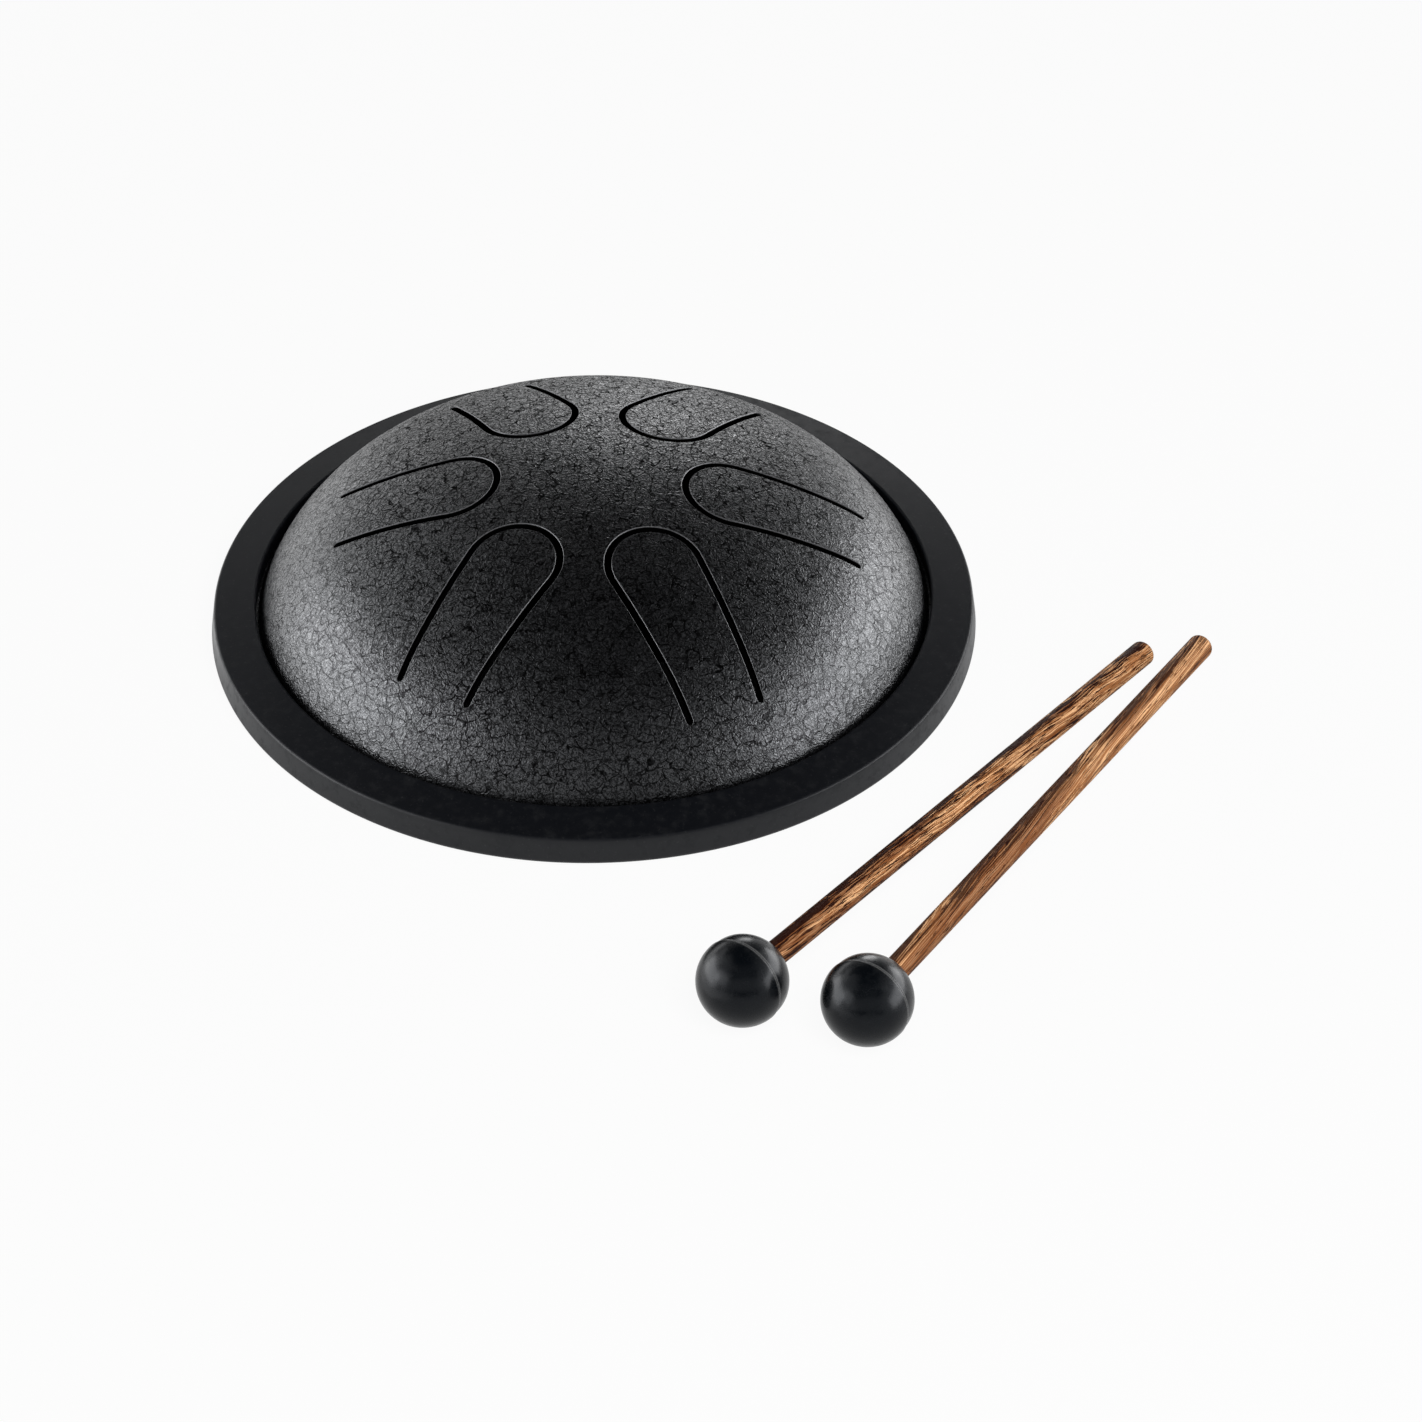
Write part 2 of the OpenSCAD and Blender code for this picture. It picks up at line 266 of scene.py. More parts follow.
class Shader:
    """Builds the nodes of one material or world."""

    def __init__(self, owner):
        owner.use_nodes = True
        self.tree = owner.node_tree
        self.tree.nodes.clear()

    def node(self, kind, settings=None, sockets=None, out=0):
        """Adds a node, makes its settings, then gives its sockets their values or links."""
        node = self.tree.nodes.new(kind)
        for name, setting in (settings or {}).items():
            setattr(node, name, setting)
        for name, value in (sockets or {}).items():
            if isinstance(value, Value):
                self.tree.links.new(value.socket, node.inputs[name])
            else:
                node.inputs[name].default_value = value
        return Value(self, node.outputs[out]) if node.outputs else node

    def point(self):
        """The point on the surface in metres, in the object's own frame."""
        return self.node("ShaderNodeTexCoord", out="Object")

    def place(self):
        """The point on the surface in millimetres, in the object's own frame."""
        return self.point() * (1 / MM)

    def cut(self):
        """1 on the edges that the mesh marks, and more on the walls of the slots."""
        return self.node("ShaderNodeAttribute", {"attribute_name": "cut"}, out="Fac")

    def length(self, vector):
        """The length of a vector."""
        return self.node("ShaderNodeVectorMath", {"operation": "LENGTH"}, {0: vector}, "Value")

    def reach(self, vector, direction):
        """How far a vector reaches in this direction."""
        return self.node("ShaderNodeVectorMath", {"operation": "DOT_PRODUCT"}, {0: vector, 1: direction},
                         "Value")

    def noise(self, where, width, detail=2.0, roughness=0.5, out=0):
        """Smooth noise from 0 to 1 with lumps of about this width."""
        return self.node("ShaderNodeTexNoise", {"noise_dimensions": "3D"},
                         {"Vector": where, "Scale": 1 / width, "Detail": detail, "Roughness": roughness}, out)

    def wander(self, where, width, detail):
        """A smooth random shift with lumps of about this width, up to 0.5 each way."""
        return self.noise(where, width, detail, 0.5, "Color") - (0.5, 0.5, 0.5)

    def cells(self, where, width):
        """Distance to the edge of the nearest cell, as a share of the cells' width."""
        return self.node("ShaderNodeTexVoronoi", {"voronoi_dimensions": "3D", "feature": "DISTANCE_TO_EDGE"},
                         {"Vector": where, "Scale": 1 / width}, "Distance")

    def step(self, value, low, high):
        """0 below low, 1 above high and smooth between them."""
        return self.node("ShaderNodeMapRange", {"interpolation_type": "SMOOTHSTEP"},
                         {"Value": value, "From Min": low, "From Max": high})

    def mix(self, amount, first, second):
        """A colour that goes from the first to the second."""
        colours = [v if isinstance(v, Value) else (*v, 1) for v in (first, second)]
        return self.node("ShaderNodeMix", {"data_type": "RGBA"},
                         {"Factor": amount, 6: colours[0], 7: colours[1]}, 2)

    def bump(self, height):
        """The normal of a surface whose height is given in millimetres."""
        return self.node("ShaderNodeBump", sockets={"Height": height, "Distance": MM, "Strength": 1})

    def crease(self, value, width):
        """1 along the winding lines where smooth noise is at its middle, and 0 away from them."""
        return 1 - self.step(abs(value - 0.5), 0.0, width)

    def surface(self, sockets, hollow=None):
        """Ends the material in one shader with these sockets, which gives way to a dull black painted shade
        in a hollow.
        """
        shader = self.node("ShaderNodeBsdfPrincipled", sockets=sockets)
        if hollow:
            # A dull black with no gloss: painted shade.
            black = self.node("ShaderNodeBsdfPrincipled", sockets={
                "Base Color": (0.0006, 0.0006, 0.0006, 1), "Roughness": 1.0, "Specular IOR Level": 0.0})
            shader = self.node("ShaderNodeMixShader", sockets={0: hollow, 1: shader, 2: black})
        self.node("ShaderNodeOutputMaterial", sockets={"Surface": shader})


def new_material(name):
    """A material with this name, and its shader."""
    material = bpy.data.materials.new(name)
    return material, Shader(material)


def toned(base, factor):
    """A colour made darker or lighter by a factor."""
    return tuple(factor * c for c in base)


def crackle_paint(finish):
    """Black paint shrunk into cells with cracks darkened by painted shade, and a wrinkled skin on each cell.

    The cracks are shallower and less shaded on the flanks, and the skin is coarser towards the back.
    """
    material, s = new_material("crackle_paint")
    place = s.place()
    grain = finish.grain / MM
    cell = finish.cell / MM
    drift = s.wander(place, 3.4, 2)
    fray = s.wander(place, grain, 1)
    torn = place + drift * 2.4 + fray * 0.55
    cloud = s.noise(place, 8.0, 3, 0.55)
    patch = s.noise(place, 2.6, 2, 0.5)
    gap = s.cells(torn, cell) * cell
    flank_start, flank_end = 44.0, 66.0
    back_start, back_end = -10.0, 40.0
    # Towards the flanks the cracks are shallower, and their painted shade is weaker.
    shallow = s.step(s.length(place * (1.0, 0.6, 0.0)), flank_start, flank_end)
    coarse = s.step(s.reach(place, (0.0, 1.0, 0.0)), back_start, back_end)
    open_here = 0.5 + 0.5 * s.step(patch, 0.36, 0.58)
    crack = (1 - s.step(gap, 0.05, 0.19)) * open_here
    lip = s.step(gap, 0.08, 0.20) * (1 - s.step(gap, 0.20, 0.50))
    wrinkles = s.noise(torn, grain, 1, 0.5)
    small = s.noise(torn + (5.0, 9.0, 2.0), 0.55 * grain, 0, 0.5)
    crease = s.crease(wrinkles, 0.10)
    small_crease = s.crease(small, 0.11)
    pits = s.step(s.noise(torn + (3.0, 1.0, 8.0), 0.9 * grain, 1, 0.5), 0.62, 0.74)
    # The rounded edges of the slots, which take the lighter colour of a painted highlight.
    edge = s.step(s.cut(), 0.0, 1.0)
    # The walls of the slots, which are darkened to a dull black painted shade.
    wall = s.step(s.cut(), 1.0, 1.3)
    height = (0.12 - 0.02 * shallow + 0.07 * coarse) * wrinkles + (0.06 + 0.04 * coarse) * small
    height = height + (0.05 + 0.10 * coarse) * patch + 0.16 * cloud
    height = height + (0.010 + 0.014 * shallow) * lip - 0.014 * crack - 0.010 * crease
    # The share of the skin that keeps its paint. The rest, in cracks, creases and pits, takes a dull black
    # painted shade.
    unshaded_skin = (1 - (0.95 - 0.4 * shallow) * crack) * (1 - (0.85 - 0.35 * shallow) * crease)
    unshaded_skin = unshaded_skin * (1 - (0.65 - 0.1 * shallow) * small_crease) * (1 - (0.8 - 0.3 * shallow) * pits)
    body = s.mix(cloud, toned(finish.paint, 0.7), toned(finish.paint, 1.3))
    # Painted shade: the cracks, creases, pits and slot walls give way to dull black.
    s.surface({
        "Base Color": s.mix(edge, body, finish.edge_highlight),
        "Roughness": 0.34 + 0.14 * (cloud - 0.5) - 0.25 * (wrinkles - 0.5) - 0.07 * edge,
        "Normal": s.bump(height * (1 - edge)),
        "Specular IOR Level": 0.95,
        "Specular Tint": (*finish.cool_gloss, 1),
    }, (1 - unshaded_skin) * (1 - edge) + wall)
    return material


def plate_paint(finish):
    """Thin satin paint on the base plate, with faint lines from the rolled steel under it."""
    material, s = new_material("plate_paint")
    place = s.place()
    rolled = s.noise(place * (0.04, 1.0, 1.0), 0.8, 3, 0.6)
    orange_peel = s.noise(place, 1.2, 2, 0.5)
    cloud = s.noise(place, 14.0, 2, 0.5)
    s.surface({
        "Base Color": s.mix(cloud, toned(finish.plate, 0.7), toned(finish.plate, 1.4)),
        "Roughness": 0.38 + 0.14 * cloud,
        "Normal": s.bump(0.004 * rolled + 0.012 * orange_peel),
        "Specular IOR Level": 0.5,
    })
    return material


def moulded_rubber(name, base, tint, specular, roughness, scuff, rubbed_r=None):
    """Satin moulded rubber with a fine mould grain, faint waves and a little dust.

    Handling has polished it from the rubbed radius outwards.
    """
    material, s = new_material(name)
    place = s.place()
    grain = s.noise(place, 0.5, 2, 0.6)
    waves = s.noise(place, 7.0, 2, 0.5)
    dust = s.step(s.noise(place, 2.6, 4, 0.65), 0.46, 0.74)
    specks = s.step(s.noise(place, 0.6, 1, 0.5), 0.66, 0.74)
    polish = 0
    if rubbed_r:
        radius = s.length(place * (1.0, 1.0, 0.0))
        polish = s.step(radius, rubbed_r / MM - 0.5, rubbed_r / MM + 0.3) * (0.5 - 0.2 * dust)
    tone = s.mix(0.4 * dust + 0.6 * specks, base, tuple(c + scuff for c in base))
    s.surface({
        # The marked lips of a ball's seam are lighter in colour: a painted highlight.
        "Base Color": s.mix(s.cut(), tone, tuple(c + LIP_HIGHLIGHT for c in base)),
        "Roughness": roughness + 0.06 * waves + 0.12 * dust,
        "Normal": s.bump(0.012 * grain + 0.03 * waves),
        "Specular IOR Level": specular,
        "Specular Tint": (*tint, 1),
        "Coat Weight": polish,
        "Coat Roughness": 0.34,
        "Coat Tint": (*tint, 1),
    })
    return material


def streaked_wood(name, finish, place_matrix, flecked, slant):
    """Oiled wood with long dark streaks, broad bands and short flecks in flat growth planes."""
    material, s = new_material(name)
    point = s.point()
    lie = place_matrix @ Matrix.Rotation(math.radians(38), 4, "X")
    grain_lie = lie @ Matrix.Rotation(slant, 4, "Z")
    along = s.node("ShaderNodeMapping", {"vector_type": "TEXTURE"},
                   {"Vector": point, "Location": grain_lie.to_translation(),
                    "Rotation": grain_lie.to_euler()}) * (1 / MM)
    side = s.reach(point - tuple(lie.to_translation()), tuple(lie.to_3x3().col[1]))
    # Painted shade: the dark streaks and pores grow thicker on one side of the stick, tilted 38 degrees up
    # from level.
    shaded_side = s.step(side * (1 / MM), 0.0, 2.6)
    bent = along + s.wander(along * (0.045 + 0.035 * flecked, 0.25, 0.15), 1.0, 2) * (0.0, 1.5, 0.4)
    bands = s.noise(bent * (0.018, 0.45, 0.2), 1.0, 1, 0.5)
    streaks = s.noise(bent * (0.04 + 0.06 * flecked, 3.2, 0.8), 1.0, 2, 0.6)
    fibres = s.noise(bent * (0.05 + 0.04 * flecked, 5.5, 1.4), 1.0, 1, 0.5)
    flecks = s.noise(bent * (0.24, 4.0, 1.8), 1.0, 1, 0.5)
    brown = s.step(bands, 0.48, 0.54)
    dark = s.step(streaks + 0.4 * (bands - 0.5) + 0.15 * shaded_side, 0.60 - 0.03 * flecked,
                  0.625 - 0.03 * flecked)
    pores = s.step(flecks + 0.05 * shaded_side, 0.66 - 0.05 * flecked, 0.70 - 0.05 * flecked)
    pale = s.step(fibres, 0.44, 0.54)
    tone = s.mix(pale, finish.wood_tan, finish.wood_light)
    tone = s.mix(0.7 * brown, tone, finish.wood_brown)
    tone = s.mix(0.9 * s.crease(fibres, 0.06), tone, finish.wood_brown)
    tone = s.mix((0.8 + 0.17 * flecked) * dark, tone, finish.wood_dark)
    tone = s.mix(0.95 * pores, tone, finish.wood_dark)
    s.surface({
        "Base Color": tone,
        "Roughness": 0.45 + 0.1 * fibres + 0.2 * pores,
        "Normal": s.bump(0.02 * fibres - 0.03 * pores - 0.02 * dark),
        "Specular IOR Level": 0.05,
        "Specular Tint": (*finish.wood_gloss, 1),
    })
    return material


class Skin:
    """Gathers faces with a normal at each corner, and makes one object of them."""

    def __init__(self):
        self.index = {}
        self.points = []
        self.faces = []
        self.normals = []
        self.cut = {}

    def point(self, place):
        """The number of the point at this place. Points within a thousandth of a millimetre are one point."""
        key = tuple(round(c * 1e6) for c in place)
        if key not in self.index:
            self.index[key] = len(self.points)
            self.points.append(tuple(place))
        return self.index[key]

    def face(self, places, normals):
        """A face through these places. It is turned to face the way that its normals point."""
        corners = []
        for place, normal in zip(places, normals):
            number = self.point(place)
            if number not in (c[0] for c in corners):
                corners.append((number, normal))
        if len(corners) < 3:
            return
        a, b, c = (Vector(self.points[corner[0]]) for corner in corners[:3])
        facing = (b - a).cross(c - a)
        if facing.dot(sum((Vector(n) for _, n in corners), Vector((0, 0, 0)))) < 0:
            corners.reverse()
        self.faces.append([number for number, _ in corners])
        self.normals.extend(normal for _, normal in corners)

    def strip(self, rows, others):
        """Faces between two rows of places with their normals."""
        for (p, n), (q, m), (r, o), (t, l) in zip(rows, rows[1:], others[1:], others):
            self.face((p, q, r, t), (n, m, o, l))

    def make(self, name, material):
        """The object, smooth, with the gathered normals."""
        mesh = bpy.data.meshes.new(name)
        mesh.from_pydata(self.points, [], self.faces)
        mesh.polygons.foreach_set("use_smooth", [True] * len(mesh.polygons))
        mesh.normals_split_custom_set([tuple(Vector(n).normalized()) for n in self.normals])
        mesh.materials.append(material)
        if self.cut:
            cut = mesh.attributes.new("cut", "FLOAT", "POINT")
            cut.data.foreach_set("value", [self.cut.get(i, 0.0) for i in range(len(self.points))])
        made = bpy.data.objects.new(name, mesh)
        bpy.context.scene.collection.objects.link(made)
        return made


def arc(middle, radius, start, end, steps, hollow=False):
    """Points of an arc in section with their normals, from one angle to another, in radians."""
    points = []
    for i in range(steps + 1):
        a = start + (end - start) * i / steps
        c, s = math.cos(a), math.sin(a)
        facing = (-c, -s) if hollow else (c, s)
        points.append(((middle[0] + radius * c, middle[1] + radius * s), facing))
    return points


def line(start, end, steps=1):
    """Points of a straight stretch in section, with normals to the right of its direction."""
    run = Vector(end) - Vector(start)
    facing = (run.y / run.length, -run.x / run.length)
    return [(tuple(Vector(start) + run * (i / steps)), facing) for i in range(steps + 1)]


def rounded(corners, radii, steps=6):
    """The strokes of a closed section, counterclockwise, with each corner rounded to its radius."""
    arcs = []
    for i, (corner, radius) in enumerate(zip(corners, radii)):
        corner = Vector(corner)
        back = (Vector(corners[i - 1]) - corner).normalized()
        ahead = (Vector(corners[(i + 1) % len(corners)]) - corner).normalized()
        hollow = back.cross(ahead) > 0
        half = back.angle(ahead) / 2
        middle = corner + (back + ahead).normalized() * (radius / math.sin(half))
        first = corner + back * (radius / math.tan(half)) - middle
        last = corner + ahead * (radius / math.tan(half)) - middle
        start = math.atan2(first.y, first.x)
        sweep = (math.atan2(last.y, last.x) - start + math.pi) % math.tau - math.pi
        arcs.append(arc(middle, radius, start, start + sweep, steps, hollow))
    strokes = []
    for i, curve in enumerate(arcs):
        strokes.append(curve)
        strokes.append(line(curve[-1][0], arcs[(i + 1) % len(arcs)][0][0]))
    return strokes


def spin(skin, strokes, sides, place=None, edges=()):
    """Turns a section, given as radius and height, about the Z axis of its place.

    The strokes whose numbers are in edges are marked as edges.
    """
    place = place or Matrix.Identity(4)
    turn = place.to_3x3()
    for number, stroke in enumerate(strokes):
        rings = []
        for (radius, height), (out, up) in stroke:
            ring = []
            for k in range(sides + 1):
                a = math.tau * (k % sides) / sides
                c, s = math.cos(a), math.sin(a)
                point = place @ Vector((radius * c, radius * s, height))
                ring.append((point, turn @ Vector((out * c, out * s, up))))
            rings.append(ring)
        if number in edges:
            skin.cut.update((skin.point(point), 1.0) for ring in rings for point, _ in ring)
        for ring, other in zip(rings, rings[1:]):
            skin.strip(ring, other)


def turned(name, material, strokes, sides, place=None, edges=()):
    """One object made of a section turned about the Z axis of its place."""
    skin = Skin()
    spin(skin, strokes, sides, place, edges)
    return skin.make(name, material)


class Sheet:
    """The pressed sheet in section: where its two surfaces lie and which way they face."""

    def __init__(self, sizes):
        self.sizes = sizes
        self.crown_z = sizes.dome_h - sizes.crown_r
        self.knuckle_x = sizes.dome_r - sizes.knuckle_r
        reach = sizes.crown_r - sizes.knuckle_r
        self.knuckle_z = self.crown_z + math.sqrt(reach ** 2 - self.knuckle_x ** 2)
        self.crown_lean = math.asin(self.knuckle_x / reach)
        self.flange_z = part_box("base_plate")[1].z
        self.bend_z = self.flange_z + sizes.sheet_t + sizes.bend_r
        rise = self.bend_z - self.knuckle_z
        self.bend_x = self.knuckle_x + math.sqrt((sizes.knuckle_r + sizes.bend_r) ** 2 - rise ** 2)
        self.wall_angle = math.atan2(rise, self.bend_x - self.knuckle_x)
        self.flange_r = self.bend_x + sizes.flange_w
        self.join_r = sizes.dome_r - JOIN_SHARE * sizes.knuckle_r

    def at(self, radius, inset):
        """Height and lean of the surface at this radius. Inset is how far it lies inside the outer one."""
        crown_r = self.sizes.crown_r - inset
        if radius < crown_r * math.sin(self.crown_lean):
            middle, middle_z, r = 0, self.crown_z, crown_r
        else:
            middle, middle_z, r = self.knuckle_x, self.knuckle_z, self.sizes.knuckle_r - inset
        out = (radius - middle) / r
        up = math.sqrt(1 - out * out)
        return middle_z + r * up, out, up

    def over(self, x, y, inset, facing):
        """The place above this point of the plan on one of the surfaces, and the normal on its side."""
        radius = math.hypot(x, y)
        z, out, up = self.at(radius, inset)
        c, s = (x / radius, y / radius) if radius else (1, 0)
        return (x, y, z), (facing * out * c, facing * out * s, facing * up)

    def outside(self, x, y, sink=0.0):
        """The place above this point of the plan on the outer surface, or sunk below it, and its normal."""
        (_, _, z), normal = self.over(x, y, 0, 1)
        return (x, y, z - sink), normal

    def inside(self, x, y):
        """The place above this point of the plan on the inner surface, and its normal."""
        return self.over(x, y, self.sizes.sheet_t, -1)

    def skirt(self):
        """Section of the side and the flange, from the outside's join round to the inside's."""
        d = self.sizes
        knuckle = (self.knuckle_x, self.knuckle_z)
        bend = (self.bend_x, self.bend_z)
        wall = self.wall_angle
        outer = math.acos((self.join_r - self.knuckle_x) / d.knuckle_r)
        inner = math.acos((self.join_r - self.knuckle_x) / (d.knuckle_r - d.sheet_t))
        down = 1.5 * math.pi
        top, bottom = self.flange_z + d.sheet_t, self.flange_z
        return [
            arc(knuckle, d.knuckle_r, outer, wall, 9),
            arc(bend, d.bend_r, wall + math.pi, down, 5, hollow=True),
            [((self.bend_x, top), (0, 1)), ((self.flange_r, top), (0, 1))],
            [((self.flange_r, top), (1, 0)), ((self.flange_r, bottom), (1, 0))],
            [((self.flange_r, bottom), (0, -1)), ((self.bend_x, bottom), (0, -1))],
            arc(bend, d.bend_r + d.sheet_t, down, wall + math.pi, 5),
            arc(knuckle, d.knuckle_r - d.sheet_t, wall, inner, 9, hollow=True),
        ]


class Slot:
    """The slot round one tongue, with u outwards along the tongue and v across it."""

    def __init__(self, sizes, number):
        self.turn = sizes.tongue_turn + number * math.tau / TONGUES
        self.arc_r = sizes.tongue_half_w
        self.tip_u = sizes.tongue_tip_r + self.arc_r
        self.root_u = sizes.tongue_tip_r + sizes.tongue_lens[number]
        self.taper = sizes.tongue_taper
        self.side = (math.sin(self.taper), math.cos(self.taper))
        self.start = (self.tip_u + self.arc_r * self.side[0], self.arc_r * self.side[1])
        self.root_v = self.start[1] - (self.root_u - self.start[0]) * math.tan(self.taper)
        self.reach = sizes.slot_w / 2
        self.seam_u = self.root_u + self.reach + sizes.slot_edge_r
        self.rim_step = RIM_SHARE * sizes.mesh_step

    def plan(self, u, v):
        """The point of the plan at u and v."""
        c, s = math.cos(self.turn), math.sin(self.turn)
        return u * c - v * s, u * s + v * c

    def local(self, x, y):
        """u and v of a point of the plan."""
        c, s = math.cos(self.turn), math.sin(self.turn)
        return x * c + y * s, y * c - x * s

    def gap(self, u, v):
        """Distance from the slot's middle line."""
        v = abs(v)
        if u < self.tip_u:
            return abs(math.hypot(u - self.tip_u, v) - self.arc_r)
        run_u, run_v = self.root_u - self.start[0], self.root_v - self.start[1]
        t = ((u - self.start[0]) * run_u + (v - self.start[1]) * run_v) / (run_u ** 2 + run_v ** 2)
        t = min(1, max(0, t))
        return math.hypot(u - self.start[0] - t * run_u, v - self.start[1] - t * run_v)

    def holds(self, u, v):
        """Whether the tongue holds this point, which isn't in the slot."""
        if u < self.tip_u:
            return math.hypot(u - self.tip_u, v) < self.arc_r
        return u < self.seam_u and abs(v) < self.start[1] - (u - self.start[0]) * math.tan(self.taper)

    def rim(self):
        """The middle line's points with the direction out of the slot, once round it.

        The first list is the shell's rim and the second the tongue's. They meet at the ends of the seam.
        """
        su, sv = self.side
        run = math.hypot(self.root_u - self.start[0], self.root_v - self.start[1])
        count = max(4, round(run / self.rim_step))
        turns = max(8, round(self.arc_r * math.pi / self.rim_step))

        def straight(v_side, out, outwards):
            made = []
            for i in range(count + 1):
                t = i / count if outwards else 1 - i / count
                u = self.start[0] + t * (self.root_u - self.start[0])
                v = self.start[1] + t * (self.root_v - self.start[1])
                made.append(((u, v_side * v), (out * su, out * v_side * sv)))
            return made

        def curve(out, first, last):
            return arc((self.tip_u, 0), self.arc_r, first, last, turns, hollow=out < 0)[1:-1]

        def cap(v_side, first, last):
            return arc((self.root_u, v_side * self.root_v), 0, first, last, CAP_STEPS)

        half = math.pi / 2 - self.taper
        shell = cap(-1, self.taper, -half)[:-1] + straight(-1, 1, False) + curve(1, math.tau - half, half)
        shell += straight(1, 1, True) + cap(1, half, -self.taper)[1:]
        tongue = cap(1, -self.taper, -half - 2 * self.taper)[:-1] + straight(1, -1, False)
        tongue += curve(-1, half, math.tau - half) + straight(-1, -1, True)
        tongue += cap(-1, math.pi - half, self.taper)[1:]
        return shell, tongue

    def moved(self, rim, reach):
        """The rim's points in plan, this far from the middle line."""
        return [self.plan(c[0] + m[0] * reach, c[1] + m[1] * reach) for c, m in rim]


def triangulated(sheet, slots, sizes):
    """Triangles of the dome in plan, inside the join, as a list for the shell and one for each tongue."""
    points, edges = [], []

    def chain(places, closed):
        first = len(points)
        points.extend(places)
        edges.extend((first + i, first + i + 1) for i in range(len(places) - 1))
        if closed:
            edges.append((first + len(places) - 1, first))
        return first

    sides, step = sizes.mesh_sides, sizes.mesh_step
    turns = [math.tau * k / sides for k in range(sides)]
    chain([(sheet.join_r * math.cos(a), sheet.join_r * math.sin(a)) for a in turns], True)
    for slot in slots:
        shell, tongue = slot.rim()
        loop = shell[:-1] + tongue[:-1]
        first = chain(slot.moved(loop, slot.reach + sizes.slot_edge_r), True)
        start, end = first + len(shell) - 1, first
        steps = max(2, round(2 * slot.root_v / step))
        a, b = Vector(points[start]), Vector(points[end])
        inner = [tuple(a.lerp(b, i / steps)) for i in range(1, steps)]
        seam = chain(inner, False)
        edges.append((start, seam))
        edges.append((seam + len(inner) - 1, end))

    clear = sizes.slot_w / 2 + sizes.slot_edge_r + RIM_SHARE * step
    rings = int((sheet.join_r - 0.6 * step) / step)
    for ring in range(rings + 1):
        radius = ring * step
        count = max(1, round(math.tau * radius / step))
        for k in range(count):
            a = math.tau * (k + 0.5 * (ring % 2)) / count
            x, y = radius * math.cos(a), radius * math.sin(a)
            near = False
            for slot in slots:
                u, v = slot.local(x, y)
                on_seam = abs(u - slot.seam_u) < 0.5 * step and abs(v) < slot.root_v
                near = near or on_seam or slot.gap(u, v) < clear
            if not near:
                points.append((x, y))

    _, _, faces, origins, _, _ = delaunay_2d_cdt([Vector(p) for p in points], edges, [], 0, SAME_PLACE)
    owners = [[] for _ in range(TONGUES + 1)]
    for face in faces:
        corners = [points[origins[k][0]] for k in face]
        x = sum(p[0] for p in corners) / 3
        y = sum(p[1] for p in corners) / 3
        owner = 0
        for number, slot in enumerate(slots):
            u, v = slot.local(x, y)
            if slot.gap(u, v) < slot.reach + sizes.slot_edge_r - 10 * SAME_PLACE and u < slot.seam_u:
                owner = None
                break
            if slot.holds(u, v):
                owner = number + 1
        if owner is not None:
            owners[owner].append(corners)
    return owners


def slot_wall(skin, sheet, slot, rim, sizes, steps=4):
    """The rounded edge, the wall and the lower edge of the sheet along one rim of a slot."""
    edge = sizes.slot_edge_r
    columns = []
    c, s = math.cos(slot.turn), math.sin(slot.turn)
    for (u, v), (mu, mv) in rim:
        away = (mu * c - mv * s, mu * s + mv * c)
        column = []
        for i in range(steps + 1):
            a = math.pi / 2 * i / steps
            reach = slot.reach + edge * (1 - math.sin(a))
            x, y = slot.plan(u + mu * reach, v + mv * reach)
            place, normal = sheet.outside(x, y, edge * (1 - math.cos(a)))
            facing = Vector(normal) * math.cos(a) - Vector((*away, 0)) * math.sin(a)
            column.append((place, facing.normalized()))
        x, y = slot.plan(u + mu * slot.reach, v + mv * slot.reach)
        low, down = sheet.inside(x, y)
        column.append((low, Vector((-away[0], -away[1], 0))))
        column.append((low, down))
        x, y = slot.plan(u + mu * (slot.reach + edge), v + mv * (slot.reach + edge))
        column.append(sheet.inside(x, y))
        columns.append(column)
    for column, other in zip(columns, columns[1:]):
        skin.strip(column, other)
    for column in columns:
        for place, _ in column[1:steps + 1]:
            skin.cut[skin.point(place)] = 1.0
        # The foot of each wall is marked 3, so the wall below the edge takes the dull black painted shade.
        skin.cut[skin.point(column[steps + 1][0])] = 3.0


def dress(made, slot_name, *nodes):
    """Hides the solids that a piece stands in for."""
    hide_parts(*nodes)


class TONGUE_DRUM_OT_dome(bpy.types.Operator):
    """Build the slotted dome with its flange, and the six tongues"""

    bl_idname = "tongue_drum.dome"
    bl_label = "Dome and tongues"

    def execute(self, context):
        sizes = context.scene.drum_dome
        paint = crackle_paint(context.scene.drum_finishes)
        sheet = Sheet(sizes)
        slots = [Slot(sizes, number) for number in range(TONGUES)]
        owners = triangulated(sheet, slots, sizes)
        for owner, triangles in enumerate(owners):
            skin = Skin()
            for corners in triangles:
                for surface in (sheet.outside, sheet.inside):
                    skin.face(*zip(*(surface(x, y) for x, y in corners)))
            if owner == 0:
                spin(skin, sheet.skirt(), sizes.mesh_sides)
                for slot in slots:
                    slot_wall(skin, sheet, slot, slot.rim()[0], sizes)
                shell = skin.make("slotted_dome", paint)
                dress(shell, "drum_steel", "tongue_shell")
                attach(shell, "drum")
                continue
            slot = slots[owner - 1]
            slot_wall(skin, sheet, slot, slot.rim()[1], sizes)
            tongue = skin.make(f"sounding_tongue_{owner}", paint)
            dress(tongue, "drum_steel", f"tongue_{owner}")
            start = sheet.outside(*slot.plan(slot.seam_u, 0))[0]
            bent_u = slot.root_u - 2 * sizes.sheet_t
            end = sheet.outside(*slot.plan(bent_u, 0))[0]
            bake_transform(tongue)
        return {"FINISHED"}


